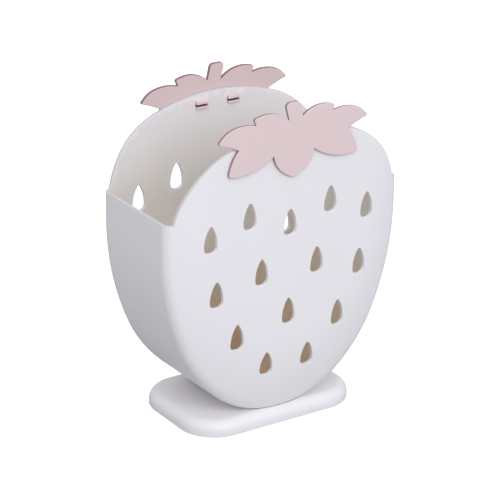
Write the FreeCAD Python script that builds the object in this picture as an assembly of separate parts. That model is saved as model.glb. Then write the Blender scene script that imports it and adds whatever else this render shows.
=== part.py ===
import FreeCAD, Part
import math
import os

# Strawberry-shaped cutlery holder: a one-piece moulded holder with curved front and back panels,
# a separate drip tray that it stands in, and a leaf that snaps on to each panel.
# Millimetres. Origin: middle of the tray's underside, on the table. X to the right, Y to the back, Z up.

# Holder body, seen from the front; the radii of its lower outline are shares of the half width,
# and angles are in degrees
half_width = 81.6
seat_height = 7.6
side_radius_share = 2.053
side_sweep = 23.5
shoulder_radius_share = 1.129
bottom_radius_share = 0.806
side_straight = 17.4
panel_rise = 46.7
panel_crown_radius = 123.5
panel_crown_half_width = 42.0
panel_shoulder_radius = 55.5

# Holder body, seen from above
depth = 81.4
wall = 2.5
flat_half_width = 52.0
pillow_radius = 67.8
corner_radius = 7.2
profile_steps = 4

# Seed holes: the tip of each hole, as shares of the half width and of the panel height. Two pairs
# sit nearer to the middle on the rear panel, where they can't be seen through the front holes
seed_width = 8.8
seed_length = 16.4
seed_tip_shares = [
    (0.345, 0.781), (0.670, 0.733), (0.0, 0.734),
    (0.238, 0.587), (0.616, 0.547), (0.0, 0.436),
    (0.437, 0.387), (0.178, 0.266),
]
rear_seed_across_shares = [0.345, 0.670, 0.0, 0.185, 0.616, 0.0, 0.300, 0.178]
seed_length_shares = [1.0, 1.0, 1.0, 1.0, 1.0, 1.0, 1.0, 0.9]
seed_outline_shares = {
    "widest": (1.0, 0.22),
    "side": (0.71, 0.70),
    "tip_side": (0.21, 0.97),
    "corner": (0.86, 0.10),
    "foot": (0.30, 0.004),
}

# Leaves
leaf_half_width = 51.5
leaf_height = 41.0
leaf_rise = 11.7
leaf_thickness = 2.3
leaf_outline_shares = [
    ((0.107, 0.868), None),
    ((0.505, 0.966), (0.291, 0.985)),
    ((0.536, 0.934), (0.528, 0.956)),
    ((0.511, 0.861), None),
    ((0.796, 0.873), (0.650, 0.890)),
    ((0.979, 0.727), (0.905, 0.815)),
    ((0.973, 0.676), (0.994, 0.698)),
    ((0.734, 0.551), (0.864, 0.627)),
    ((0.860, 0.224), (0.819, 0.385)),
    ((0.825, 0.171), (0.852, 0.185)),
    ((0.272, 0.359), (0.550, 0.190)),
    ((0.062, 0.029), (0.212, 0.180)),
]
stem_left_root_share = (0.072, 0.842)
stem_rise = 9.6
stem_top_half_width = 5.0
stem_lean = 1.0
stem_corner = 2.6

# Snap clips on the back of each leaf, and the slots they pass through
clip_spacing = 22.4
clip_drop = 7.4
slot_width = 8.4
slot_height = 4.6
slot_corner = 0.4
clip_side_gap = 0.15
clip_split = 1.2
barb_reach = 0.7
barb_length = 1.6
barb_gap = 0.1

# Foot under the body
foot_half_length = 15.0
foot_half_depth = 25.0
foot_corner = 5.0
foot_wall = 2.2
foot_notch_width = 9.0
foot_notch_height = 2.0
drain_radius = 2.5
drain_columns = 3
drain_rows = 5
drain_pitch = 8.0

# Drip tray
tray_half_length = 58.2
tray_half_depth = 38.3
tray_corner = 23.6
tray_height = 9.6
tray_top_rounding = 6.5
tray_bottom_rounding = 0.8
tray_wall = 2.2
seat_gap = 0.3
foot_side_gap = 0.4
saddle_half_length = 22.0

# Overrun of every cutting shape past the face it leaves
overrun = 5.0

half_depth = depth / 2
centre_line = FreeCAD.Vector(0, 0, 0)
up = FreeCAD.Vector(0, 0, 1)
backwards = FreeCAD.Vector(0, 1, 0)
sideways = FreeCAD.Vector(1, 0, 0)


def point(x, z, y=0.0):
    return FreeCAD.Vector(x, y, z)


def polar(centre, radius, angle):
    turn = math.radians(angle)
    return centre + point(radius * math.cos(turn), radius * math.sin(turn))


def arc(start, middle, end):
    return Part.Arc(start, middle, end).toShape()


def line(start, end):
    return Part.LineSegment(start, end).toShape()


def mirrored(place):
    return FreeCAD.Vector(-place.x, place.y, place.z)


def outline_arcs():
    """Side, shoulder and bottom arcs on the right: centre, radius and the angles they run between."""
    side_radius = side_radius_share * half_width
    shoulder_radius = shoulder_radius_share * half_width
    bottom_radius = bottom_radius_share * half_width
    side_centre = point(half_width - side_radius, 0)
    shoulder_centre = polar(side_centre, side_radius - shoulder_radius, -side_sweep)
    bottom_reach = shoulder_radius - bottom_radius
    bottom_turn = -math.degrees(math.acos(-shoulder_centre.x / bottom_reach))
    bottom_centre = polar(shoulder_centre, bottom_reach, bottom_turn)
    lift = point(0, seat_height + bottom_radius - bottom_centre.z)
    return (
        (lift + side_centre, side_radius, 0, -side_sweep),
        (lift + shoulder_centre, shoulder_radius, -side_sweep, bottom_turn),
        (lift + bottom_centre, bottom_radius, bottom_turn, -90),
    )


def lower_outline(inset):
    """Start, middle and end of the three arcs, from the widest place down, drawn in by inset."""
    arcs = []
    for centre, radius, start, end in outline_arcs():
        turns = (start, (start + end) / 2, end)
        arcs.append([polar(centre, radius - inset, turn) for turn in turns])
    return arcs


side_wall_height = lower_outline(0)[0][0].z + side_straight
panel_height = side_wall_height + panel_rise
clip_height = panel_height - clip_drop


def body_section(inset, share, y, top):
    """Closed outline of the holder at depth y, drawn in by share about the middle of the mouth."""
    side, shoulder, bottom = lower_outline(inset)

    def drawn_in(place):
        return point(share * place.x, side_wall_height - share * (side_wall_height - place.z), y)

    right_top = point(share * side[0].x, top, y)
    side = [drawn_in(place) for place in side]
    shoulder = [drawn_in(place) for place in shoulder]
    foot_start = drawn_in(bottom[0])
    foot_middle = drawn_in(bottom[2])
    edges = [
        line(right_top, side[0]),
        arc(*side),
        arc(*shoulder),
        arc(foot_start, foot_middle, mirrored(foot_start)),
        arc(*[mirrored(place) for place in reversed(shoulder)]),
        arc(*[mirrored(place) for place in reversed(side)]),
        line(mirrored(side[0]), mirrored(right_top)),
        line(mirrored(right_top), right_top),
    ]
    return Part.Wire(edges)


def edge_profile(inset):
    """Half width and depth of the sections: round the corner, then over the crown to the flat."""
    crown = pillow_radius - inset
    corner = corner_radius - inset
    reach = half_width - inset - corner - flat_half_width
    rise = math.sqrt((crown - corner) ** 2 - reach ** 2)
    crown_centre_depth = half_depth - inset - crown
    corner_centre_depth = crown_centre_depth + rise
    tangent = math.degrees(math.atan2(rise, reach))
    round_corner = []
    over_crown = []
    for step in range(profile_steps + 1):
        turn = math.radians(tangent * step / profile_steps)
        x = flat_half_width + reach + corner * math.cos(turn)
        round_corner.append((x, corner_centre_depth + corner * math.sin(turn)))
        turn = math.radians(tangent + (90 - tangent) * step / profile_steps)
        x = flat_half_width + crown * math.cos(turn)
        over_crown.append((x, crown_centre_depth + crown * math.sin(turn)))
    return round_corner, over_crown


def holder_form(inset, top):
    """Closed pillow shape of the holder, every face drawn in by inset."""
    profile = edge_profile(inset)
    start_depth = profile[0][0][1]
    block = Part.Face(body_section(inset, 1, -start_depth, top)).extrude(backwards * (2 * start_depth))
    for side in (-1, 1):
        for places in profile:
            sections = [body_section(inset, x / (half_width - inset), side * y, top) for x, y in places]
            block = block.fuse(Part.makeLoft(sections, True, False))
    return block.removeSplitter()


def panel_trim(top):
    """Everything below the arched tops of the two panels."""
    crown_centre = point(0, panel_height - panel_crown_radius)
    turn = math.degrees(math.acos(panel_crown_half_width / panel_crown_radius))
    crown_end = polar(crown_centre, panel_crown_radius, turn)
    shoulder_centre = polar(crown_centre, panel_crown_radius - panel_shoulder_radius, turn)
    drop = math.degrees(math.asin((side_wall_height - shoulder_centre.z) / panel_shoulder_radius))
    shoulder_end = polar(shoulder_centre, panel_shoulder_radius, drop)
    shoulder_middle = polar(shoulder_centre, panel_shoulder_radius, (turn + drop) / 2)
    ledge = point(half_width + overrun, side_wall_height)
    base = point(half_width + overrun, -overrun)
    edges = [
        line(mirrored(base), base),
        line(base, ledge),
        line(ledge, shoulder_end),
        arc(shoulder_end, shoulder_middle, crown_end),
        arc(crown_end, point(0, panel_height), mirrored(crown_end)),
        arc(mirrored(crown_end), mirrored(shoulder_middle), mirrored(shoulder_end)),
        line(mirrored(shoulder_end), mirrored(ledge)),
        line(mirrored(ledge), mirrored(base)),
    ]
    face = Part.Face(Part.Wire(edges))
    face.translate(backwards * (-half_depth - overrun))
    return face.extrude(backwards * (depth + 2 * overrun))


def seed_cutter(tip_x, tip_z, length, start):
    """Teardrop prism through the panel in front of or behind the middle, tip up."""
    def place(name, side):
        across, along = seed_outline_shares[name]
        return point(tip_x + side * across * seed_width / 2, tip_z - length * (1 - along))

    tip = point(tip_x, tip_z)
    foot = point(tip_x, tip_z - length)
    edges = [
        arc(place("tip_side", 1), tip, place("tip_side", -1)),
        arc(place("tip_side", -1), place("side", -1), place("widest", -1)),
        arc(place("widest", -1), place("corner", -1), place("foot", -1)),
        arc(place("foot", -1), foot, place("foot", 1)),
        arc(place("foot", 1), place("corner", 1), place("widest", 1)),
        arc(place("widest", 1), place("side", 1), place("tip_side", 1)),
    ]
    face = Part.Face(Part.Wire(edges))
    face.translate(backwards * start)
    return face.extrude(backwards * (half_depth + overrun))


def seed_cutters():
    cutters = []
    seeds = zip(seed_tip_shares, rear_seed_across_shares, seed_length_shares)
    for (across, up_share), rear_across, length_share in seeds:
        tip_z = up_share * panel_height
        length = length_share * seed_length
        for side in ((-1, 1) if across else (1,)):
            cutters.append(seed_cutter(side * across * half_width, tip_z, length, -half_depth - overrun))
            cutters.append(seed_cutter(side * rear_across * half_width, tip_z, length, 0))
    return cutters


def rounded_block(half_x, half_y, corner, bottom, top):
    """Upright block with rounded upright edges, centred on the origin."""
    block = Part.makeBox(2 * half_x, 2 * half_y, top - bottom, FreeCAD.Vector(-half_x, -half_y, bottom))
    upright = [edge for edge in block.Edges if abs(edge.tangentAt(edge.FirstParameter).z) > 0.5]
    return block.makeFillet(corner, upright)


def slot_cutter(x):
    """Rounded slot through both panels for one clip."""
    size = FreeCAD.Vector(slot_width, depth + 2 * overrun, slot_height)
    corner = FreeCAD.Vector(x - slot_width / 2, -half_depth - overrun, clip_height - slot_height / 2)
    block = Part.makeBox(size.x, size.y, size.z, corner)
    long_edges = [edge for edge in block.Edges if abs(edge.tangentAt(edge.FirstParameter).y) > 0.5]
    return block.makeFillet(slot_corner, long_edges)


def foot_ring():
    """Short skirt under the curved bottom, which stands flat in the tray."""
    floor = tray_wall
    bottom_radius = outline_arcs()[2][1]
    top = seat_height + bottom_radius - math.sqrt(bottom_radius ** 2 - foot_half_length ** 2) + wall
    ring = rounded_block(foot_half_length, foot_half_depth, foot_corner, floor, top)
    inner = foot_corner - foot_wall
    hollow = rounded_block(foot_half_length - foot_wall, foot_half_depth - foot_wall, inner,
                           floor - overrun, top)
    notch = Part.makeBox(2 * (foot_half_length + overrun), foot_notch_width, foot_notch_height + overrun,
                         FreeCAD.Vector(-foot_half_length - overrun, -foot_notch_width / 2, floor - overrun))
    ring = ring.cut(hollow).cut(notch)
    return ring.cut(holder_form(wall / 2, panel_height + overrun))


def drain_cutters():
    cutters = []
    for column in range(drain_columns):
        for row in range(drain_rows):
            x = (column - (drain_columns - 1) / 2) * drain_pitch
            y = (row - (drain_rows - 1) / 2) * drain_pitch
            base = FreeCAD.Vector(x, y, 0)
            cutters.append(Part.makeCylinder(drain_radius, seat_height + wall + overrun, base, up))
    return cutters


def holder_body():
    top = panel_height + overrun
    body = holder_form(0, top)
    body = body.fuse(foot_ring())
    body = body.cut(holder_form(wall, top + overrun))
    side_gap_depth = edge_profile(wall)[0][0][1]
    side_gap = Part.makeBox(2 * (half_width + overrun), 2 * side_gap_depth, panel_height,
                            FreeCAD.Vector(-half_width - overrun, -side_gap_depth, side_wall_height))
    body = body.cut(side_gap)
    body = body.common(panel_trim(top))
    slots = [slot_cutter(side * clip_spacing / 2) for side in (-1, 1)]
    body = body.cut(seed_cutters() + slots + drain_cutters())
    return body.removeSplitter()


def leaf_place(share, side):
    lowest = panel_height + leaf_rise - leaf_height
    return point(side * share[0] * leaf_half_width, lowest + share[1] * leaf_height)


def leaf_outline():
    """Closed outline of the leaf in the XZ plane, with the stem at the top."""
    lowest = leaf_place((0, 0), 1)
    edges = []
    base_right = leaf_place(leaf_outline_shares[0][0], 1)
    base_left = leaf_place(stem_left_root_share, -1)
    for side, start in ((1, base_right), (-1, base_left)):
        for end_share, middle_share in leaf_outline_shares[1:]:
            end = leaf_place(end_share, side)
            if middle_share is None:
                edges.append(line(start, end))
            else:
                edges.append(arc(start, leaf_place(middle_share, side), end))
            start = end
    tip_side = leaf_place(leaf_outline_shares[-1][0], 1)
    edges.append(arc(tip_side, lowest, mirrored(tip_side)))
    top = base_right.z + stem_rise
    left = -stem_lean - stem_top_half_width
    right = -stem_lean + stem_top_half_width
    corner = stem_corner * (1 - math.sqrt(0.5))
    edges.append(line(base_right, point(right, top - stem_corner)))
    edges.append(arc(point(right, top - stem_corner), point(right - corner, top - corner),
                     point(right - stem_corner, top)))
    edges.append(line(point(right - stem_corner, top), point(left + stem_corner, top)))
    edges.append(arc(point(left + stem_corner, top), point(left + corner, top - corner),
                     point(left, top - stem_corner)))
    edges.append(line(point(left, top - stem_corner), base_left))
    return Part.Wire(Part.__sortEdges__(edges))


def clip_prong(x, side):
    """The upper or lower sprung half of a clip, with its barb behind the panel."""
    outer = clip_height + side * (slot_height / 2 - clip_side_gap)
    inner = clip_height + side * clip_split / 2
    tip = -half_depth + wall + barb_gap + barb_length
    behind = -half_depth + wall + barb_gap
    start = -half_depth
    barb = outer + side * barb_reach
    shape = [(inner, start), (outer, start), (outer, behind), (barb, behind), (outer, tip), (inner, tip)]
    left = x - slot_width / 2 + clip_side_gap
    corners = [FreeCAD.Vector(left, py, pz) for pz, py in shape]
    face = Part.Face(Part.makePolygon(corners + [corners[0]]))
    return face.extrude(sideways * (slot_width - 2 * clip_side_gap))


def front_leaf():
    face = Part.Face(leaf_outline())
    face.translate(backwards * (-half_depth - leaf_thickness))
    leaf = face.extrude(backwards * leaf_thickness)
    prongs = [clip_prong(place * clip_spacing / 2, side) for place in (-1, 1) for side in (-1, 1)]
    return leaf.fuse(prongs).removeSplitter()


def rear_leaf():
    leaf = front_leaf()
    leaf.rotate(centre_line, up, 180)
    return leaf


def drip_tray():
    """One moulding: rounded skirt and deck, with a well in the middle for the foot and the water."""
    tray = rounded_block(tray_half_length, tray_half_depth, tray_corner, 0, tray_height)
    top_edges = [edge for edge in tray.Edges if edge.BoundBox.ZMin > tray_height / 2]
    tray = tray.makeFillet(tray_top_rounding, top_edges)
    bottom_edges = [edge for edge in tray.Edges if edge.BoundBox.ZMax < tray_height / 4]
    tray = tray.makeFillet(tray_bottom_rounding, bottom_edges)
    deck = tray_height - tray_wall
    hollow = rounded_block(tray_half_length - tray_wall, tray_half_depth - tray_wall,
                           tray_corner - tray_wall, -overrun, deck)
    under_edges = [edge for edge in hollow.Edges if edge.BoundBox.ZMin > tray_height / 2]
    hollow = hollow.makeFillet(tray_top_rounding - tray_wall, under_edges)
    saddle_under = seat_height - seat_gap - tray_wall
    saddle = Part.makeBox(2 * saddle_half_length, 2 * tray_half_depth, tray_height,
                          FreeCAD.Vector(-saddle_half_length, -tray_half_depth, saddle_under))
    well_x = foot_half_length + foot_side_gap
    well_y = foot_half_depth + foot_side_gap
    well_corner = foot_corner + foot_side_gap
    well_wall = rounded_block(well_x + tray_wall, well_y + tray_wall, well_corner + tray_wall,
                              -2 * overrun, tray_height)
    tray = tray.cut(hollow.cut([saddle, well_wall]))
    tray = tray.cut(holder_form(-seat_gap, panel_height))
    well = rounded_block(well_x, well_y, well_corner, tray_wall, tray_height + overrun)
    return tray.cut(well).removeSplitter()


parts = {
    "drip_tray": drip_tray,
    "holder_body": holder_body,
    "front_leaf": front_leaf,
    "rear_leaf": rear_leaf,
}

os.makedirs("parts", exist_ok=True)
for name, make in parts.items():
    shape = make()
    print(name, "solids", len(shape.Solids), "valid", shape.isValid(), "volume", round(shape.Volume))
    shape.exportStep("parts/" + name + ".step")
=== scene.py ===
import math

import bmesh
import bpy
import numpy as np
from mathutils import Matrix, Vector
from mathutils.geometry import delaunay_2d_cdt


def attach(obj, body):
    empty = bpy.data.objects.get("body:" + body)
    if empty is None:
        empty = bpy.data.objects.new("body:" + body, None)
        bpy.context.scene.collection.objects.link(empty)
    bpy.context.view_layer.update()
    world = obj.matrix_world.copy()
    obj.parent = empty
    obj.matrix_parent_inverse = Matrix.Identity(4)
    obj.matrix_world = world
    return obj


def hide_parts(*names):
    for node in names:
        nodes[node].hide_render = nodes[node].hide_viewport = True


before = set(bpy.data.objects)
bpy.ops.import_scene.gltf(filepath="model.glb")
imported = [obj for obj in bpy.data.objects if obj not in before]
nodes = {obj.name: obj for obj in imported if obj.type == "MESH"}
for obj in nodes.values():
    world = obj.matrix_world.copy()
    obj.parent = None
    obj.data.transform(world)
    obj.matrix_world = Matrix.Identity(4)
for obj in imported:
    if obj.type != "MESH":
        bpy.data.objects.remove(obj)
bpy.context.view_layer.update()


# Drip tray
# The separate base that the holder stands in: one injection-moulded piece of satin white
# polypropylene, with a rounded deck and skirt and a well in the middle that catches the water.

def socket(tree, side, name, kind, value=None):
    """Adds a named input or output to a node tree."""
    made = tree.interface.new_socket(name=name, in_out=side, socket_type=kind)
    if value is not None:
        made.default_value = value


flow_stretch = (1.0, 1.0, 0.15)
drift_detail = 3.0
fine_detail = 2.0
edge_gain = 4.0
least_edge_share = 0.3
rubbed_gloss_change = -0.1
bevel_samples = 4
mix_share, mix_first, mix_second, mix_result = 0, 6, 7, 2


def moulded_surface():
    """Node group: tint drift, uneven satin, worn edges, a painted shade laid on rims, and fine
    grain of a moulded surface.
    """
    tree = bpy.data.node_groups.new("moulded surface", "ShaderNodeTree")
    for name, value in (("Colour", (0.8, 0.8, 0.8, 1.0)), ("Drift colour", (0.7, 0.7, 0.7, 1.0)),
                        ("Rubbed colour", (0.9, 0.9, 0.9, 1.0))):
        socket(tree, "INPUT", name, "NodeSocketColor", value)
    for name, value in (("Drift size", 0.03), ("Flow size", 0.004), ("Grain size", 0.0006),
                        ("Gloss", 0.45), ("Gloss drift", 0.08), ("Edge width", 0.0006),
                        ("Edge wear", 0.5), ("Rim", 0.0)):
        socket(tree, "INPUT", name, "NodeSocketFloat", value)
    socket(tree, "OUTPUT", "Colour", "NodeSocketColor")
    socket(tree, "OUTPUT", "Roughness", "NodeSocketFloat")
    socket(tree, "OUTPUT", "Height", "NodeSocketFloat")
    make, link = tree.nodes.new, tree.links.new
    given = make("NodeGroupInput")
    out = make("NodeGroupOutput")
    where = make("ShaderNodeTexCoord")

    def put(node, index, value):
        if isinstance(value, (int, float)):
            node.inputs[index].default_value = value
        else:
            link(value, node.inputs[index])

    def math_node(operation, *values):
        node = make("ShaderNodeMath")
        node.operation = operation
        for index, value in enumerate(values):
            put(node, index, value)
        return node.outputs[0]

    def noise(vector, size_name, detail):
        node = make("ShaderNodeTexNoise")
        node.inputs["Detail"].default_value = detail
        link(math_node("DIVIDE", 1.0, given.outputs[size_name]), node.inputs["Scale"])
        link(vector, node.inputs["Vector"])
        return node.outputs["Fac"]

    def mixed(share, first, second):
        node = make("ShaderNodeMix")
        node.data_type = "RGBA"
        for index, value in ((mix_share, share), (mix_first, first), (mix_second, second)):
            link(value, node.inputs[index])
        return node.outputs[mix_result]

    stretched = make("ShaderNodeMapping")
    stretched.inputs["Scale"].default_value = flow_stretch
    link(where.outputs["Object"], stretched.inputs["Vector"])
    drift = noise(where.outputs["Object"], "Drift size", drift_detail)
    flow = noise(stretched.outputs[0], "Flow size", fine_detail)
    grain = noise(where.outputs["Object"], "Grain size", fine_detail)

    rounded = make("ShaderNodeBevel")
    rounded.samples = bevel_samples
    link(given.outputs["Edge width"], rounded.inputs["Radius"])
    facing = make("ShaderNodeNewGeometry")
    turn = make("ShaderNodeVectorMath")
    turn.operation = "DOT_PRODUCT"
    link(rounded.outputs[0], turn.inputs[0])
    link(facing.outputs["Normal"], turn.inputs[1])
    edge = math_node("MULTIPLY", math_node("SUBTRACT", 1.0, turn.outputs["Value"]), edge_gain)
    patchy = math_node("MULTIPLY", edge, math_node("ADD", drift, least_edge_share))
    worn = math_node("MULTIPLY", math_node("MINIMUM", patchy, 1.0), given.outputs["Edge wear"])
    # Where the rim share is set, the edge colour is laid on fully: a painted shade along the rims,
    # not wear.
    worn_and_rim_shade = math_node("MAXIMUM", worn, given.outputs["Rim"])

    tint = mixed(drift, given.outputs["Colour"], given.outputs["Drift colour"])
    link(mixed(worn_and_rim_shade, tint, given.outputs["Rubbed colour"]), out.inputs["Colour"])
    around = math_node("SUBTRACT", flow, 0.5)
    uneven = math_node("MULTIPLY_ADD", around, given.outputs["Gloss drift"], given.outputs["Gloss"])
    link(math_node("MULTIPLY_ADD", worn_and_rim_shade, rubbed_gloss_change, uneven), out.inputs["Roughness"])
    link(grain, out.inputs["Height"])
    return tree


surface_group = moulded_surface()
grain_strength = 0.3
plastic_refraction = 1.49


def moulded_plastic(name, colour, drift_colour, worn_and_rim_shade_colour, gloss, grain_depth):
    """Principled material of one moulded plastic, driven by the surface group."""
    material = bpy.data.materials.new(name)
    material.use_nodes = True
    tree = material.node_tree
    shader = tree.nodes["Principled BSDF"]
    group = tree.nodes.new("ShaderNodeGroup")
    group.name = "surface"
    group.node_tree = surface_group
    group.inputs["Colour"].default_value = (*colour, 1.0)
    group.inputs["Drift colour"].default_value = (*drift_colour, 1.0)
    group.inputs["Rubbed colour"].default_value = (*worn_and_rim_shade_colour, 1.0)
    group.inputs["Gloss"].default_value = gloss
    # The rim share of the piece paints the edge colour along its rims as a painted shade.
    rim = tree.nodes.new("ShaderNodeAttribute")
    rim.attribute_name = "rim"
    tree.links.new(rim.outputs["Fac"], group.inputs["Rim"])
    bump = tree.nodes.new("ShaderNodeBump")
    bump.inputs["Strength"].default_value = grain_strength
    bump.inputs["Distance"].default_value = grain_depth
    tree.links.new(group.outputs["Colour"], shader.inputs["Base Color"])
    tree.links.new(group.outputs["Roughness"], shader.inputs["Roughness"])
    tree.links.new(group.outputs["Height"], bump.inputs["Height"])
    tree.links.new(bump.outputs["Normal"], shader.inputs["Normal"])
    shader.inputs["IOR"].default_value = plastic_refraction
    return material


# Its edge colour is darker: wear on the edges, and painted shade on the rims.
white_plastic = moulded_plastic(
    "white polypropylene", colour=(0.888, 0.870, 0.855), drift_colour=(0.868, 0.848, 0.832),
    worn_and_rim_shade_colour=(0.70, 0.685, 0.675), gloss=0.42, grain_depth=0.00006)
nodes["drip_tray"].material_slots[0].material = white_plastic

# Holder body
# The fruit-shaped holder itself: one thin-walled moulding in the same white polypropylene, with a
# bowed panel at the front and back, seed-shaped holes through both and drain holes in the bottom.
# It stands in the tray's well on the short foot under its bottom.

half_width = 81.6
seat_height = 7.6
outline_radius_shares = (2.053, 1.129, 0.806)
side_sweep = math.radians(23.5)
side_straight = 17.4
panel_rise = 46.7
crown_radius = 123.5
crown_half_width = 42.0
shoulder_radius = 55.5
half_depth = 40.7
wall = 2.5
flat_half_width = 52.0
pillow_radius = 67.8
corner_radius = 7.2
rim_rounding = 0.7
rim_steps = 3
arc_steps = (9, 14, 14)
straight_steps = 3
look_up_detail = 20
outline_detail = 2


def arc_points(x, z, radius, start, end, steps):
    """Points of an arc about x, z, with both of its ends."""
    turns = np.linspace(start, end, steps + 1)
    return np.stack([x + radius * np.cos(turns), z + radius * np.sin(turns)], 1)


def outline_arcs():
    """Side, shoulder and bottom arcs on the right: centre x and z, radius, start and end angle."""
    side, shoulder, bottom = (share * half_width for share in outline_radius_shares)
    side_x = half_width - side
    shoulder_x = side_x + (side - shoulder) * math.cos(side_sweep)
    shoulder_z = -(side - shoulder) * math.sin(side_sweep)
    bottom_turn = math.acos(-shoulder_x / (shoulder - bottom))
    bottom_z = shoulder_z - (shoulder - bottom) * math.sin(bottom_turn)
    lift = seat_height + bottom - bottom_z
    return (
        (side_x, lift, side, 0.0, -side_sweep),
        (shoulder_x, lift + shoulder_z, shoulder, -side_sweep, -bottom_turn),
        (0.0, lift + bottom_z, bottom, -bottom_turn, -math.pi / 2),
    )


side_arc, shoulder_arc, bottom_arc = outline_arcs()
mouth_height = side_arc[1] + side_straight
panel_height = mouth_height + panel_rise


def body_outline(inset, detail):
    """The body seen from the front, drawn in by inset: from the mouth's right end to its left."""
    straight = np.linspace(mouth_height - rim_rounding, side_arc[1], straight_steps * detail + 1)
    half = [np.stack([np.full(len(straight), half_width - inset), straight], 1)]
    for (x, z, radius, start, end), steps in zip((side_arc, shoulder_arc, bottom_arc), arc_steps):
        half.append(arc_points(x, z, radius - inset, start, end, steps * detail)[1:])
    half = np.concatenate(half)
    return np.concatenate([half, (half * (-1, 1))[-2::-1]])


def reach_at(angle, inset):
    """Reach of the body's outline from the mouth's middle, at an angle."""
    outline = body_outline(inset, look_up_detail) - (0, mouth_height)
    angles = np.arctan2(outline[:, 1], outline[:, 0])
    return np.interp(-angle, -angles, np.hypot(outline[:, 0], outline[:, 1]))


def span_at(x, z, inset):
    """Half width of the body's section through x, z: sections shrink towards the mouth's middle."""
    angle = np.arctan2(np.minimum(z - mouth_height, 0.0), x)
    share = np.hypot(x, z - mouth_height) / reach_at(angle, inset)
    return np.where(z > mouth_height - rim_rounding, np.abs(x), share * (half_width - inset))


def edge_shape(inset):
    """Radii and centres of the panel's crown and of the rounded corner beside it."""
    crown = pillow_radius - inset
    corner = corner_radius - inset
    reach = half_width - corner_radius - flat_half_width
    rise = math.sqrt((crown - corner) ** 2 - reach ** 2)
    crown_depth = half_depth - pillow_radius
    tangent = math.atan2(rise, reach)
    return crown, corner, crown_depth, flat_half_width + reach, crown_depth + rise, tangent


def depth_at(span, inset):
    """Depth of the panel's face where the section's half width is span."""
    crown, corner, crown_depth, corner_x, corner_depth, tangent = edge_shape(inset)
    bowed = crown_depth + np.sqrt(crown ** 2 - np.maximum(span - flat_half_width, 0.0) ** 2)
    rounded = corner_depth + np.sqrt(np.maximum(corner ** 2 - (span - corner_x) ** 2, 0.0))
    return np.where(span < flat_half_width + crown * math.cos(tangent), bowed, rounded)


def bow_panel(flat):
    """Places points of the flat panel, x, depth into the wall and z, on the bowed front panel."""
    x, into, z = flat.T
    outer = depth_at(span_at(x, z, 0.0), 0.0)
    inner = depth_at(span_at(x, z, wall), wall)
    return np.stack([x, -(outer + (inner - outer) * into / wall), z], 1)


def through_wall(outer):
    """Points of the inner face straight behind points of the outer outline, seen from the mouth."""
    angle = np.arctan2(outer[:, 1] - mouth_height, outer[:, 0])
    reach = reach_at(angle, wall)
    return np.stack([reach * np.cos(angle), mouth_height + reach * np.sin(angle)], 1)


def curve_bottom(flat):
    """Places points of the flat bottom patch, along the arc, into the wall and y, on the body."""
    along, into, y = flat.T
    _, z, radius = bottom_arc[:3]
    outer = np.stack([radius * np.sin(along / radius), z - radius * np.cos(along / radius)], 1)
    inner = through_wall(outer)
    placed = outer + (inner - outer) * (into / wall)[:, None]
    return np.stack([placed[:, 0], y, placed[:, 1]], 1)


def rounding_steps(rounding, thickness):
    """Share of the way to the edge and depth into the wall, from one face to the other."""
    turns = np.linspace(0.0, math.pi / 2, rim_steps + 1)
    into = rounding * (1 - np.cos(turns))
    return [*zip(np.sin(turns), into), *zip(np.sin(turns)[::-1], thickness - into[::-1])]


def at_depth(points, depth):
    """Points of a flat outline or sheet, x and z, set at one depth."""
    return np.stack([points[:, 0], np.full(len(points), depth), points[:, 1]], 1)


def rounded_rows(low, edge, rounding, thickness):
    """Rows of points over both rounded edges of a wall, from the line low out to the line edge."""
    return [at_depth(low + (edge - low) * share, into)
            for share, into in rounding_steps(rounding, thickness)]


def strip_faces(rows, columns, closed):
    """Quads between rows of points that follow one another."""
    faces = []
    for row in range(rows - 1):
        for column in range(columns if closed else columns - 1):
            after = (column + 1) % columns
            faces.append((row * columns + column, row * columns + after,
                          (row + 1) * columns + after, (row + 1) * columns + column))
    return faces


def grow(loop, distance):
    """A closed loop moved outwards by distance."""
    ahead = np.roll(loop, -1, 0) - loop
    ahead /= np.linalg.norm(ahead, axis=1)[:, None]
    along = ahead + np.roll(ahead, 1, 0)
    along /= np.linalg.norm(along, axis=1)[:, None]
    out = np.stack([along[:, 1], -along[:, 0]], 1)
    area = np.sum(loop[:, 0] * np.roll(loop[:, 1], -1) - np.roll(loop[:, 0], -1) * loop[:, 1])
    return loop + distance * np.sign(area) * out


def add_object(name, data):
    """New object in the scene, with its data."""
    added = bpy.data.objects.new(name, data)
    bpy.context.collection.objects.link(added)
    return added


def hole_rim(name, loop, rounding):
    """Rounded edges and wall of one hole in the flat sheet, as an object for the patterns below."""
    rings = rounded_rows(grow(loop, rounding), loop, rounding, wall)
    mesh = bpy.data.meshes.new(name)
    mesh.from_pydata(np.concatenate(rings).tolist(), [], strip_faces(len(rings), len(loop), True))
    return add_object(name, mesh)


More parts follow.
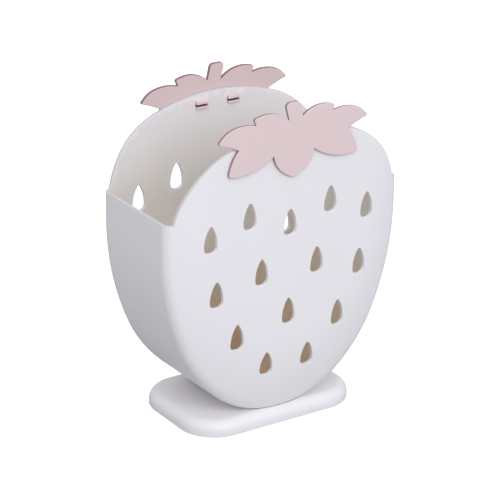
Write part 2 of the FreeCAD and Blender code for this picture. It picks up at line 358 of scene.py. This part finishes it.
def pattern_tree(name, in_rows):
    """Node tree that sets copies of one unit: on given points, each stretched, or in rows."""
    tree = bpy.data.node_groups.new(name, "GeometryNodeTree")
    tree.is_modifier = True
    socket(tree, "INPUT", "Geometry", "NodeSocketGeometry")
    socket(tree, "INPUT", "Unit", "NodeSocketObject")
    socket(tree, "INPUT", "Plastic", "NodeSocketMaterial")
    if in_rows:
        socket(tree, "INPUT", "Columns", "NodeSocketInt", 1)
        socket(tree, "INPUT", "Rows", "NodeSocketInt", 1)
        socket(tree, "INPUT", "Pitch", "NodeSocketFloat", 1.0)
        socket(tree, "INPUT", "Height", "NodeSocketFloat", 0.0)
    socket(tree, "OUTPUT", "Geometry", "NodeSocketGeometry")
    make, link = tree.nodes.new, tree.links.new
    given = make("NodeGroupInput")
    unit = make("GeometryNodeObjectInfo")
    link(given.outputs["Unit"], unit.inputs["Object"])
    copies = make("GeometryNodeInstanceOnPoints")
    link(unit.outputs["Geometry"], copies.inputs["Instance"])
    if in_rows:
        grid = make("GeometryNodeMeshGrid")
        for count, size, axis in (("Columns", "Size X", "Vertices X"),
                                  ("Rows", "Size Y", "Vertices Y")):
            gaps = make("ShaderNodeMath")
            gaps.operation = "SUBTRACT"
            link(given.outputs[count], gaps.inputs[0])
            gaps.inputs[1].default_value = 1.0
            length = make("ShaderNodeMath")
            length.operation = "MULTIPLY"
            link(gaps.outputs[0], length.inputs[0])
            link(given.outputs["Pitch"], length.inputs[1])
            link(length.outputs[0], grid.inputs[size])
            link(given.outputs[count], grid.inputs[axis])
        place = make("GeometryNodeTransform")
        raised = make("ShaderNodeCombineXYZ")
        link(given.outputs["Height"], raised.inputs["Z"])
        link(grid.outputs["Mesh"], place.inputs["Geometry"])
        link(raised.outputs[0], place.inputs["Translation"])
        place.inputs["Rotation"].default_value = (math.pi / 2, 0, 0)
        link(place.outputs["Geometry"], copies.inputs["Points"])
    else:
        stretch = make("GeometryNodeInputNamedAttribute")
        stretch.data_type = "FLOAT"
        stretch.inputs["Name"].default_value = "stretch"
        scale = make("ShaderNodeCombineXYZ")
        scale.inputs["X"].default_value = 1.0
        scale.inputs["Y"].default_value = 1.0
        link(stretch.outputs["Attribute"], scale.inputs["Z"])
        link(scale.outputs[0], copies.inputs["Scale"])
        link(given.outputs["Geometry"], copies.inputs["Points"])
    real = make("GeometryNodeRealizeInstances")
    link(copies.outputs["Instances"], real.inputs["Geometry"])
    coat = make("GeometryNodeSetMaterial")
    link(real.outputs["Geometry"], coat.inputs["Geometry"])
    link(given.outputs["Plastic"], coat.inputs["Material"])
    out = make("NodeGroupOutput")
    link(coat.outputs["Geometry"], out.inputs["Geometry"])
    return tree


def patterned(tree, points, **values):
    """Points and faces of the plain mesh that a pattern tree makes."""
    base = add_object(tree.name, points)
    modifier = base.modifiers.new("pattern", "NODES")
    modifier.node_group = tree
    for item in tree.interface.items_tree:
        if item.in_out == "INPUT" and item.name in values:
            modifier[item.identifier] = values[item.name]
    settled = base.evaluated_get(bpy.context.evaluated_depsgraph_get())
    mesh = bpy.data.meshes.new_from_object(settled)
    base.modifiers.remove(modifier)
    bpy.data.objects.remove(base)
    places = np.array([vertex.co[:] for vertex in mesh.vertices])
    return places, [tuple(face.vertices) for face in mesh.polygons]


def crossings(places, starts, ends):
    """Whether each place lies inside the loops, by counting the edges to its right."""
    x, z = places[:, :1], places[:, 1:]
    above = (starts[:, 1] > z) != (ends[:, 1] > z)
    rise = ends[:, 1] - starts[:, 1]
    rise = np.where(rise == 0, 1.0, rise)
    cross = starts[:, 0] + (z - starts[:, 1]) / rise * (ends[:, 0] - starts[:, 0])
    return (above & (x < cross)).sum(1) % 2 == 1


net_row_share = math.sqrt(0.75)
net_start_share = 0.4
net_gap_share = 0.5
level_tolerance = 1e-4
meet_tolerance = 1e-9


def fill_sheet(boundary, holes, hole_faces, pitch):
    """Triangles that fill a flat sheet up to its boundary and round its holes."""
    count = len(boundary)
    edges = [(index, (index + 1) % count) for index in range(count)]
    flat_edge = np.abs(holes[:, 1]) < level_tolerance
    for face in hole_faces:
        for start, end in zip(face, face[1:] + face[:1]):
            if flat_edge[start] and flat_edge[end]:
                edges.append((count + start, count + end))
    loops = np.concatenate([boundary, holes[:, [0, 2]]])
    used = sorted({index for edge in edges for index in edge})
    number = {old: new for new, old in enumerate(used)}
    loops = loops[used]
    edges = [(number[start], number[end]) for start, end in edges]
    starts, ends = loops[[edge[0] for edge in edges]], loops[[edge[1] for edge in edges]]
    low, high = boundary.min(0), boundary.max(0)
    net = []
    for row, level in enumerate(np.arange(low[1] + pitch / 2, high[1], pitch * net_row_share)):
        across = np.arange(low[0] + pitch * (net_start_share + row % 2 / 2), high[0], pitch)
        net.append(np.stack([across, np.full(len(across), level)], 1))
    net = np.concatenate(net)
    away = net[:, None] - loops[None]
    gap = np.min(np.hypot(away[..., 0], away[..., 1]), 1)
    net = net[(gap > net_gap_share * pitch) & crossings(net, starts, ends)]
    places = np.concatenate([loops, net])
    filled = delaunay_2d_cdt([Vector(place) for place in places], edges, [], 0, meet_tolerance)
    placed = np.array([place[:] for place in filled[0]])
    faces = np.array(filled[2])
    inside = crossings(placed[faces].mean(1), starts, ends)
    return placed, [tuple(face) for face in faces[inside].tolist()]


class Skin:
    """Points and faces of one piece, with their shares of painted shade (tint) and of painted rim
    shade (rim), gathered patch by patch.
    """

    def __init__(self):
        self.places = []
        self.faces = []
        self.shares = {"tint": [], "rim": []}

    def add(self, places, faces, tint=0.0, rim=0.0):
        first = len(self.shares["tint"])
        self.places.append(places)
        self.faces += [tuple(first + index for index in face) for face in faces]
        self.shares["tint"] += np.broadcast_to(tint, len(places)).tolist()
        self.shares["rim"] += np.broadcast_to(rim, len(places)).tolist()


millimetre = 0.001
merge_distance = 2e-6
least_edge = 1e-7
area_weight = 50


def finished_piece(name, skin, material, body, node):
    """Closed, smooth mesh object made from a skin, standing for its CAD node."""
    mesh = bpy.data.meshes.new(name)
    mesh.from_pydata((np.concatenate(skin.places) * millimetre).tolist(), [], skin.faces)
    for share, values in skin.shares.items():
        mesh.attributes.new(share, "FLOAT", "POINT").data.foreach_set("value", values)
    work = bmesh.new()
    work.from_mesh(mesh)
    bmesh.ops.remove_doubles(work, verts=work.verts, dist=merge_distance)
    bmesh.ops.dissolve_degenerate(work, edges=work.edges, dist=least_edge)
    bmesh.ops.recalc_face_normals(work, faces=work.faces)
    for face in work.faces:
        face.smooth = True
    work.to_mesh(mesh)
    work.free()
    rough = add_object(name + "_rough", mesh)
    even = rough.modifiers.new("even shading", "WEIGHTED_NORMAL")
    even.mode = "FACE_AREA"
    even.weight = area_weight
    settled = rough.evaluated_get(bpy.context.evaluated_depsgraph_get())
    piece = add_object(name, bpy.data.meshes.new_from_object(settled))
    rough.modifiers.remove(even)
    bpy.data.objects.remove(rough)
    piece.data.materials.clear()
    piece.data.materials.append(material)
    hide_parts(node)
    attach(piece, body)


def arc_through(start, middle, end, steps):
    """Points of the arc through three points, without its last one."""
    start, middle, end = (np.array(place, float) for place in (start, middle, end))
    a, b = middle - start, end - start
    cross = 2 * (a[0] * b[1] - a[1] * b[0])
    away = np.array([b[1] * (a @ a) - a[1] * (b @ b), a[0] * (b @ b) - b[0] * (a @ a)]) / cross
    centre, radius = start + away, math.hypot(*away)
    first = math.atan2(-away[1], -away[0])
    last = math.atan2(*(end - centre)[::-1])
    half = math.atan2(*(middle - centre)[::-1])
    turn = (last - first) % (2 * math.pi)
    if (half - first) % (2 * math.pi) > turn:
        turn -= 2 * math.pi
    turns = first + turn * np.arange(steps) / steps
    return [(centre[0] + radius * math.cos(angle), centre[1] + radius * math.sin(angle))
            for angle in turns]


# Seed holes of the panels: teardrops with their tip up, fourteen in each panel. Their tips are
# given as shares of the half width and of the panel's height, for one side of the panel. Two
# pairs of the rear panel sit nearer to the middle.
seed_width = 8.8
seed_length = 16.4
seed_tip_side, seed_side, seed_widest = (0.21, 0.97), (0.71, 0.70), (1.0, 0.22)
seed_corner, seed_foot = (0.86, 0.10), (0.30, 0.004)
seed_tip_shares = ((0.345, 0.781), (0.670, 0.733), (0.0, 0.734), (0.238, 0.587),
                   (0.616, 0.547), (0.0, 0.436), (0.437, 0.387), (0.178, 0.266))
rear_seed_across_shares = (0.345, 0.670, 0.0, 0.185, 0.616, 0.0, 0.300, 0.178)
seed_length_shares = (1.0, 1.0, 1.0, 1.0, 1.0, 1.0, 1.0, 0.9)
seed_rounding = 0.3


def seed_loop():
    """Outline of a full-length seed hole, its tip at the origin."""
    half = seed_width / 2

    def place(share, hand):
        return hand * (share[0] * half), seed_length * (share[1] - 1)

    # The three points of each arc, the hand that each is on, and the arc's steps
    loop = []
    for shares, hands, steps in (
            ((seed_tip_side, (0.0, 1.0), seed_tip_side), (1, 1, -1), 4),
            ((seed_tip_side, seed_side, seed_widest), (-1, -1, -1), 9),
            ((seed_widest, seed_corner, seed_foot), (-1, -1, -1), 7),
            ((seed_foot, (0.0, 0.0), seed_foot), (-1, 1, 1), 3),
            ((seed_foot, seed_corner, seed_widest), (1, 1, 1), 7),
            ((seed_widest, seed_side, seed_tip_side), (1, 1, 1), 9)):
        loop += arc_through(*(place(share, hand) for share, hand in zip(shares, hands)), steps)
    return np.array(loop)


def seed_places(across_shares):
    """Mesh of one point for the tip of each seed hole, with its stretch."""
    places, stretches = [], []
    upward_shares = [share[1] for share in seed_tip_shares]
    for across, upwards, stretch in zip(across_shares, upward_shares, seed_length_shares):
        for hand in ((-1, 1) if across else (1,)):
            places.append((hand * across * half_width, 0, upwards * panel_height))
            stretches.append(stretch)
    points = bpy.data.meshes.new("seed places")
    points.from_pydata(places, [], [])
    points.attributes.new("stretch", "FLOAT", "POINT").data.foreach_set("value", stretches)
    return points


seed_tree = pattern_tree("seed holes", False)
seed_rim = hole_rim("seed rim", seed_loop(), seed_rounding)
front_seeds, rear_seeds = (
    patterned(seed_tree, seed_places(across_shares), Unit=seed_rim, Plastic=white_plastic)
    for across_shares in ([share[0] for share in seed_tip_shares], rear_seed_across_shares))

# Clip slots of the panels: two short slots near the top of each panel, moulded through it. The
# clips of the leaf snap into them.
slot_width = 8.4
slot_height = 4.6
slot_pitch = 22.4
slot_drop = 7.4
slot_rounding = 0.3
slot_corner = 0.5
slot_corner_steps = 4


def corner_arcs(x, y, radius, steps):
    """Arcs of the four corners of a rounded rectangle, about centres at x and y on either hand."""
    return [arc_points(hand * x, side * y, radius,
                       quarter * math.pi / 2, (quarter + 1) * math.pi / 2, steps)
            for quarter, (hand, side) in enumerate(((1, 1), (-1, 1), (-1, -1), (1, -1)))]


slot_loop = np.concatenate(corner_arcs(
    slot_width / 2 - slot_corner, slot_height / 2 - slot_corner, slot_corner, slot_corner_steps))
rows_tree = pattern_tree("holes in rows", True)
slot_rim = hole_rim("slot rim", slot_loop, slot_rounding)
slots = patterned(rows_tree, bpy.data.meshes.new("none"), Unit=slot_rim, Plastic=white_plastic,
                  Columns=2, Rows=1, Pitch=slot_pitch, Height=panel_height - slot_drop)

# The two panels: each is laid out as a flat sheet round the holes above and then bowed outwards.
# It has a rounded rim along its arched top.
panel_pitch = 3.2
shoulder_steps = 26
crown_steps = 16
crown, _, _, corner_x, corner_depth, tangent = edge_shape(0.0)
tangent_span = flat_half_width + crown * math.cos(tangent)
outer_outline = body_outline(0.0, outline_detail)
seam = (outer_outline - (0, mouth_height)) * tangent_span / half_width + (0, mouth_height)
crown_z = panel_height - crown_radius
crown_turn = math.acos(crown_half_width / crown_radius)
shoulder_x = (crown_radius - shoulder_radius) * math.cos(crown_turn)
shoulder_z = crown_z + (crown_radius - shoulder_radius) * math.sin(crown_turn)


def arch(inset):
    """The panel's arched top, drawn in by inset, from left to right."""
    start = math.asin((seam[0, 1] - shoulder_z) / (shoulder_radius - inset))
    right = arc_points(shoulder_x, shoulder_z, shoulder_radius - inset, start, crown_turn,
                       shoulder_steps)
    top = arc_points(0.0, crown_z, crown_radius - inset, crown_turn, math.pi / 2, crown_steps)
    half = np.concatenate([right, top[1:]])
    return np.concatenate([half * (-1, 1), half[-2::-1]])


arch_low = arch(rim_rounding)
arch_edge = arch(0.0)
arch_edge[0] = (-tangent_span, mouth_height)
arch_edge[-1] = (tangent_span, mouth_height)
rim_low = np.concatenate([seam[-1:], arch_low, seam[:1]])
rim_edge = np.concatenate([
    [(seam[-1, 0], mouth_height)], arch_edge, [(seam[0, 0], mouth_height)]])
body_skin = Skin()
rim_rows = rounded_rows(rim_low, rim_edge, rim_rounding, wall)
rim_patch = (np.concatenate(rim_rows), strip_faces(len(rim_rows), len(rim_low), False))
# Rim rows, except the two where the rim meets the faces, take the full painted rim shade.
rim_shade_share = np.ones(len(rim_rows))
rim_shade_share[[0, -1]] = 0.0
for seeds, side in ((front_seeds, 1), (rear_seeds, -1)):
    hole_places = np.concatenate([seeds[0], slots[0]])
    hole_faces = seeds[1] + [tuple(len(seeds[0]) + index for index in face) for face in slots[1]]
    sheet, sheet_faces = fill_sheet(
        np.concatenate([seam, arch_low]), hole_places, hole_faces, panel_pitch)
    panel_patches = [(*rim_patch, 0.0, np.repeat(rim_shade_share, len(rim_low))),
                     (hole_places, hole_faces, 0.0, 0.0)]
    # The inner face takes the full painted inside shade.
    for into, inside in ((0.0, 0.0), (wall, 1.0)):
        panel_patches.append((at_depth(sheet, into), sheet_faces, inside, 0.0))
    for flat, faces, inside, rim in panel_patches:
        body_skin.add(bow_panel(flat) * (1, side, 1), faces, inside, rim)

# The band round the sides and bottom: the same moulded wall, from the front panel over a corner,
# the side wall and the other corner to the back panel, with a rounded rim along the mouth.
corner_steps = 6
side_steps = 12
bottom_patch = 16
inner_outline = through_wall(outer_outline)
side_depths = np.linspace(-corner_depth, corner_depth, side_steps + 1)


def band(inset, outline, spans):
    """Rows of points along the outline, from the front panel's edge over to the back panel's."""
    corner = corner_radius - inset
    turn = np.arccos(np.clip((spans - corner_x) / corner, -1, 1))
    rows = []
    for step in range(corner_steps):
        angle = turn * (1 - step / corner_steps)
        share = ((corner_x + corner * np.cos(angle)) / (half_width - inset))[:, None]
        place = (outline - (0, mouth_height)) * share + (0, mouth_height)
        rows.append(np.stack([place[:, 0], -corner_depth - corner * np.sin(angle), place[:, 1]], 1))
    rows += [at_depth(outline, depth) for depth in side_depths]
    return np.array(rows + [row * (1, -1, 1) for row in rows[corner_steps - 1::-1]])


outer_band = band(0.0, outer_outline, np.full(len(outer_outline), tangent_span))
inner_band = band(wall, inner_outline, span_at(seam[:, 0], seam[:, 1], wall))
row_count, column_count = outer_band.shape[:2]
middle = column_count // 2
band_faces = []
for face in strip_faces(row_count, column_count, False):
    row, column = divmod(face[0], column_count)
    if not (corner_steps <= row < corner_steps + side_steps
            and middle - bottom_patch <= column < middle + bottom_patch):
        band_faces.append(face)
body_skin.add(outer_band.reshape(-1, 3), band_faces)
# The band's inner face takes the full painted inside shade.
body_skin.add(inner_band.reshape(-1, 3), band_faces, 1.0)
for column in (0, -1):
    rows = []
    for share, into in rounding_steps(rim_rounding, wall):
        row = outer_band[:, column] + (inner_band[:, column] - outer_band[:, column]) * into / wall
        rows.append(row + (mouth_height - row[:, 2:]) * share * (0, 0, 1))
    # The mouth's rims take the same painted rim shade.
    body_skin.add(np.concatenate(rows), strip_faces(len(rows), row_count, False), 0.0,
                  np.repeat(rim_shade_share, row_count))

# Drain holes in the bottom: three rows of five that run from front to back, in the patch of the
# bottom that the band leaves open.
drain_radius = 2.5
drain_pitch = 8.0
drain_rounding = 0.4
drain_steps = 20
patch_pitch = 2.4
drain_loop = arc_points(0.0, 0.0, drain_radius, 0.0, 2 * math.pi, drain_steps)[:-1]
drain_rim = hole_rim("drain rim", drain_loop, drain_rounding)
drains = patterned(rows_tree, bpy.data.meshes.new("none"), Unit=drain_rim, Plastic=white_plastic,
                   Columns=3, Rows=5, Pitch=drain_pitch, Height=0.0)
patch_columns = slice(middle - bottom_patch, middle + bottom_patch + 1)
along = bottom_arc[2] * np.arcsin(outer_outline[patch_columns, 0] / bottom_arc[2])
edge = np.concatenate([
    np.stack([along, np.full(len(along), side_depths[0])], 1),
    np.stack([np.full(side_steps, along[-1]), side_depths[1:]], 1),
    np.stack([along[::-1], np.full(len(along), side_depths[-1])], 1)[1:],
    np.stack([np.full(side_steps - 1, along[0]), side_depths[-2:0:-1]], 1),
])
patch, patch_faces = fill_sheet(edge, *drains, patch_pitch)
body_skin.add(curve_bottom(drains[0]), drains[1])
# The bottom's inner face takes the full painted inside shade.
for into, inside in ((0.0, 0.0), (wall, 1.0)):
    body_skin.add(curve_bottom(at_depth(patch, into)), patch_faces, inside)

for rim in (seed_rim, slot_rim, drain_rim):
    bpy.data.objects.remove(rim)

# Foot: a short ring under the bottom, moulded with it, that stands in the tray's well. It is
# notched at both sides to let the water out.
foot_half_length = 15.0
foot_half_depth = 25.0
foot_corner = 5.0
foot_wall = 2.2
foot_floor = 2.2
foot_notch_half = 4.5
foot_notch_height = 2.0
foot_hold = 0.8
foot_corner_steps = 6


def foot_loop(inset):
    """Rounded rectangle of the foot, with a point at each end of both notches."""
    arcs = corner_arcs(foot_half_length - foot_corner, foot_half_depth - foot_corner,
                       foot_corner - inset, foot_corner_steps)
    notches = [hand * np.array([(foot_half_length - inset, -foot_notch_half),
                                (foot_half_length - inset, foot_notch_half)]) for hand in (-1, 1)]
    return np.concatenate([*arcs[:2], notches[0], *arcs[2:], notches[1]])


# Rows 0 to 2 are the foot's outer face, from its lower end up to the bottom, 3 to 5 its inner
foot_rows = []
for loop in (foot_loop(0.0), foot_loop(foot_wall)):
    under = bottom_arc[1] - np.sqrt(bottom_arc[2] ** 2 - loop[:, 0] ** 2)
    for height in (foot_floor, foot_floor + foot_notch_height, under + foot_hold):
        foot_rows.append(np.column_stack([loop, np.broadcast_to(height, len(loop))]))
count = len(foot_rows[0])
foot_faces = []


def foot_quad(row, other, start, end):
    """Adds one quad of the foot between two rows of points."""
    foot_faces.append((row * count + start, row * count + end,
                       other * count + end, other * count + start))


at_notch = np.isclose(np.abs(foot_rows[0][:, 1]), foot_notch_half)
notch_starts = np.flatnonzero(at_notch)[::2]
for start in range(count):
    end = (start + 1) % count
    for row, other in ((1, 2), (4, 5), (2, 5)):
        foot_quad(row, other, start, end)
    if start in notch_starts:
        foot_quad(1, 4, start, end)
        for at in (start, end):
            foot_faces.append((at, count + at, 4 * count + at, 3 * count + at))
    else:
        for row, other in ((0, 1), (3, 4), (0, 3)):
            foot_quad(row, other, start, end)
body_skin.add(np.concatenate(foot_rows), foot_faces)


def mix_in_painted_shade(material, colour):
    """Mixes a colour of painted shade, or the colour of a socket, into a material by the tint share
    of a piece.
    """
    tree = material.node_tree
    share = tree.nodes.new("ShaderNodeAttribute")
    share.attribute_name = "tint"
    mix = tree.nodes.new("ShaderNodeMix")
    mix.data_type = "RGBA"
    if isinstance(colour, tuple):
        mix.inputs[mix_second].default_value = (*colour, 1.0)
    else:
        tree.links.new(colour, mix.inputs[mix_second])
    tree.links.new(share.outputs["Fac"], mix.inputs[mix_share])
    tree.links.new(tree.nodes["surface"].outputs["Colour"], mix.inputs[mix_first])
    tree.links.new(mix.outputs[mix_result], tree.nodes["Principled BSDF"].inputs["Base Color"])


def colour_by_height(material, stops):
    """Socket of a colour that changes with height, from stops of height in metres and colour."""
    tree = material.node_tree
    where = tree.nodes.new("ShaderNodeTexCoord")
    apart = tree.nodes.new("ShaderNodeSeparateXYZ")
    tree.links.new(where.outputs["Object"], apart.inputs[0])
    highest = stops[-1][0]
    share = tree.nodes.new("ShaderNodeMath")
    share.operation = "DIVIDE"
    share.inputs[1].default_value = highest
    tree.links.new(apart.outputs["Z"], share.inputs[0])
    ramp = tree.nodes.new("ShaderNodeValToRGB")
    tree.links.new(share.outputs[0], ramp.inputs[0])
    elements = ramp.color_ramp.elements
    for index, (height, colour) in enumerate(stops):
        element = elements[index] if index < len(elements) else elements.new(height / highest)
        element.position = height / highest
        element.color = (*colour, 1.0)
    return ramp.outputs["Color"]


# Painted shade and warm bounce light on the holder's inner faces: brown and darker towards the
# bottom, near white in the middle, greyer towards the mouth.
inside_shade_stops = (
    (0.0, (0.72, 0.54, 0.40)), (0.025, (0.85, 0.66, 0.49)), (0.055, (0.88, 0.77, 0.62)),
    (0.10, (0.93, 0.915, 0.84)), (0.135, (0.84, 0.81, 0.745)), (0.175, (0.82, 0.785, 0.77)))
mix_in_painted_shade(white_plastic, colour_by_height(white_plastic, inside_shade_stops))
finished_piece("holder", body_skin, white_plastic, "holder", "holder_body")

# Leaves
# Two flat leaf trims in dusty pink polypropylene, one on each panel. Each is moulded in one piece
# with two split clips on its back, which snap through the slots of the panel.

leaf_half_width = 51.5
leaf_height = 41.0
leaf_rise = 11.7
leaf_thickness = 2.3
leaf_rounding = 0.4
leaf_outline_shares = (
    ((0.107, 0.868), None), ((0.505, 0.966), (0.291, 0.985)),
    ((0.536, 0.934), (0.528, 0.956)), ((0.511, 0.861), None),
    ((0.796, 0.873), (0.650, 0.890)), ((0.979, 0.727), (0.905, 0.815)),
    ((0.973, 0.676), (0.994, 0.698)), ((0.734, 0.551), (0.864, 0.627)),
    ((0.860, 0.224), (0.819, 0.385)), ((0.825, 0.171), (0.852, 0.185)),
    ((0.272, 0.359), (0.550, 0.190)), ((0.062, 0.029), (0.212, 0.180)),
)
stem_left_root_share = (0.072, 0.842)
stem_rise = 9.6
stem_top_half_width = 5.0
stem_lean = 1.0
stem_corner = 2.6
leaf_arc_pitch = 1.2
least_arc_steps = 4
leaf_sheet_pitch = 5.0
clip_side_gap = 0.15
clip_half_width = slot_width / 2 - clip_side_gap
clip_half_split = 0.6
clip_outer = slot_height / 2 - clip_side_gap
clip_barb_reach = 0.7
clip_barb_gap = 0.1
clip_barb_length = 1.6
clip_barb = clip_outer + clip_barb_reach
clip_behind = leaf_thickness + wall + clip_barb_gap
clip_tip = clip_behind + clip_barb_length
clip_hold = 0.4
clip_rounding = 0.12
split_tolerance = 0.01
# Shares of painted shade on the leaf: on its back, where it lies on the panel, and over its edge,
# past the shoulder and past the middle.
back_contact_shade = 0.13
shoulder_shade = 0.45
shoulder_share = 0.7
deep_edge_shade = 0.6
stem_corner_steps = 4
leaf_bottom_steps = 6


def leaf_loop():
    """Outline of the leaf seen from the front: right half, bottom, left half and stem."""
    lowest = panel_height + leaf_rise - leaf_height

    def place(share):
        return share[0] * leaf_half_width, lowest + share[1] * leaf_height

    halves = []
    for root in (leaf_outline_shares[0][0], stem_left_root_share):
        half = []
        start = place(root)
        for end, middle in leaf_outline_shares[1:]:
            length = math.dist(start, place(end))
            if middle is None:
                half.append(start)
            else:
                steps = max(least_arc_steps, round(length / leaf_arc_pitch))
                half += arc_through(start, place(middle), place(end), steps)
            start = place(end)
        halves.append(half)
    left = [(-x, z) for x, z in [start, *halves[1][::-1]]]
    bottom = arc_through(start, (0, lowest), (-start[0], start[1]), leaf_bottom_steps)
    top = halves[0][0][1] + stem_rise
    bend = stem_corner * (1 - math.sqrt(0.5))
    stem = []
    for hand in (-1, 1):
        side = hand * stem_top_half_width - stem_lean
        bent = (side - hand * bend, top - bend)
        ends = [(side, top - stem_corner), (side - hand * stem_corner, top)][::-hand]
        stem += [*arc_through(ends[0], bent, ends[1], stem_corner_steps), ends[1]]
    return np.array(halves[0] + bottom + left + stem)


def clip_unit():
    """The upper and lower sprung prongs of one clip, each with a barb behind the panel."""
    mesh = bpy.data.meshes.new("clip")
    work = bmesh.new()
    for hand in (-1, 1):
        root = leaf_thickness - clip_hold
        shape = ((clip_half_split, root), (clip_outer, root), (clip_outer, clip_behind),
                 (clip_barb, clip_behind), (clip_outer, clip_tip), (clip_half_split, clip_tip))
        low = [work.verts.new((-clip_half_width, y, hand * z)) for z, y in shape]
        high = [work.verts.new((clip_half_width, y, hand * z)) for z, y in shape]
        work.faces.new(low)
        work.faces.new(high)
        for index in range(len(shape)):
            after = (index + 1) % len(shape)
            work.faces.new((low[index], low[after], high[after], high[index]))
    bmesh.ops.recalc_face_normals(work, faces=work.faces)
    bmesh.ops.bevel(work, geom=work.edges[:], offset=clip_rounding, segments=2,
                    affect="EDGES", profile=0.5)
    work.to_mesh(mesh)
    work.free()
    return add_object("clip", mesh)


pink_plastic = moulded_plastic(
    "pink polypropylene", colour=(0.805, 0.650, 0.625), drift_colour=(0.780, 0.620, 0.598),
    worn_and_rim_shade_colour=(0.83, 0.70, 0.68), gloss=0.45, grain_depth=0.00005)
# Deep pink laid on the leaf's edges, its back and its clips' splits: painted shade, not the
# plastic's colour.
leaf_shade_pink = (0.24, 0.12, 0.11)
mix_in_painted_shade(pink_plastic, leaf_shade_pink)
leaf_edge = leaf_loop()
leaf_low = grow(leaf_edge, -leaf_rounding)
leaf_rows = rounded_rows(leaf_low, leaf_edge, leaf_rounding, leaf_thickness)
# Painted shade down the leaf's edge: none at the front, darkest past the middle, light at the back.
edge_shade_shares = []
for _, into in rounding_steps(leaf_rounding, leaf_thickness):
    past_shoulder = into > shoulder_share * leaf_rounding
    past_middle = into > leaf_thickness / 2
    edge_shade_shares.append(min(1.0, shoulder_shade * past_shoulder + deep_edge_shade * past_middle))
edge_shade_shares[-1] = back_contact_shade
leaf_patches = [(np.concatenate(leaf_rows), strip_faces(len(leaf_rows), len(leaf_edge), True),
                 np.repeat(edge_shade_shares, len(leaf_edge)))]
leaf_sheet, leaf_faces = fill_sheet(leaf_low, np.zeros((0, 3)), [], leaf_sheet_pitch)
# The back face, lying on the panel, gets a light painted contact shade.
for into, leaf_shade_share in ((0.0, 0.0), (leaf_thickness, back_contact_shade)):
    leaf_patches.append((at_depth(leaf_sheet, into), leaf_faces, leaf_shade_share))
clip = clip_unit()
clips, clip_faces = patterned(
    rows_tree, bpy.data.meshes.new("none"), Unit=clip, Plastic=pink_plastic,
    Columns=2, Rows=1, Pitch=slot_pitch, Height=panel_height - slot_drop)
bpy.data.objects.remove(clip)
off_middle = np.abs(clips[:, 2] - panel_height + slot_drop)
# Faces inside each clip's split get the full painted shade.
on_split = off_middle < clip_half_split + split_tolerance
split_shade_mask = on_split & (clips[:, 1] < clip_tip - clip_rounding / 2)
leaf_patches.append((clips, clip_faces, split_shade_mask.astype(float)))
for name, turn in (("front_leaf", 1), ("rear_leaf", -1)):
    leaf_skin = Skin()
    for flat, faces, leaf_shade_share in leaf_patches:
        outside = flat - (0, half_depth + leaf_thickness, 0)
        leaf_skin.add(outside * (turn, turn, 1), faces, leaf_shade_share)
    finished_piece(name + "_trim", leaf_skin, pink_plastic, "holder", name)

# Room
# A plain pale floor that runs out of sight, a soft sky with two soft round lamps, and the camera
# at the photo's view.

floor_reach = 6.0
floor_grey = 0.45
floor_roughness = 0.9
floor_mesh = bpy.data.meshes.new("floor")
corners = [(x * floor_reach, y * floor_reach, 0) for x, y in ((-1, -1), (1, -1), (1, 1), (-1, 1))]
floor_mesh.from_pydata(corners, [], [(0, 1, 2, 3)])
floor = add_object("floor", floor_mesh)
floor_material = bpy.data.materials.new("pale floor")
floor_material.use_nodes = True
shader = floor_material.node_tree.nodes["Principled BSDF"]
shader.inputs["Base Color"].default_value = (floor_grey, floor_grey, floor_grey, 1)
shader.inputs["Roughness"].default_value = floor_roughness
shader.inputs["Emission Color"].default_value = (1, 1, 1, 1)
path = floor_material.node_tree.nodes.new("ShaderNodeLightPath")
floor_material.node_tree.links.new(path.outputs["Is Camera Ray"],
                                   shader.inputs["Emission Strength"])
floor.data.materials.append(floor_material)

light_colour = (0.968, 0.980, 1.062)
sky_strength = 0.70
lamp_width = 1.0
lamp_distance = 1.8
lamp_aim = Vector((0, 0, 0.1))
world = bpy.data.worlds.new("studio")
world.use_nodes = True
world.node_tree.nodes["Background"].inputs["Color"].default_value = (*light_colour, 1)
world.node_tree.nodes["Background"].inputs["Strength"].default_value = sky_strength
bpy.context.scene.world = world


def direction(azimuth, elevation):
    """Unit vector from the object towards a place in front of it, its angles in degrees."""
    azimuth, elevation = math.radians(azimuth), math.radians(elevation)
    flat = math.cos(elevation)
    return Vector((math.sin(azimuth) * flat, -math.cos(azimuth) * flat, math.sin(elevation)))


def soft_light(name, azimuth, elevation, power):
    """Round soft lamp turned to the holder."""
    away = direction(azimuth, elevation)
    light = bpy.data.lights.new(name, "AREA")
    light.shape = "DISK"
    light.size = lamp_width
    light.energy = power
    light.color = light_colour
    lamp = add_object(name, light)
    lamp.location = lamp_aim + lamp_distance * away
    lamp.rotation_euler = (-away).to_track_quat("-Z", "Y").to_euler()


soft_light("front lamp", 0, 30, 8.8)
soft_light("left lamp", -34, 40, 5.5)

bpy.context.scene.view_settings.view_transform = "Standard"

# The camera stands in front, to the left and above, rolled a little. Its aim is off the target by
# a few pixels of the photo.
view_azimuth = -34.06
view_elevation = 21.79
view_distance = 1.408
view_target = Vector((0, 0, 0.11153))
roll = math.radians(0.97)
photo_width = 500
focal_pixels = 2367
aim_right_pixels = -1.1
aim_up_pixels = -21.0
back = direction(view_azimuth, view_elevation)
right = Vector((0, 0, 1)).cross(back).normalized()
up = back.cross(right)
eye = view_target + view_distance * back
right, up = (math.cos(roll) * right + math.sin(roll) * up,
             math.cos(roll) * up - math.sin(roll) * right)
back = (focal_pixels * back - aim_right_pixels * right - aim_up_pixels * up).normalized()
right = up.cross(back).normalized()
up = back.cross(right)
camera_data = bpy.data.cameras.new("camera")
camera_data.sensor_width = 36
camera_data.lens = camera_data.sensor_width * focal_pixels / photo_width
camera = add_object("camera", camera_data)
camera.matrix_world = Matrix.Translation(eye) @ Matrix((right, up, back)).transposed().to_4x4()
bpy.context.scene.camera = camera
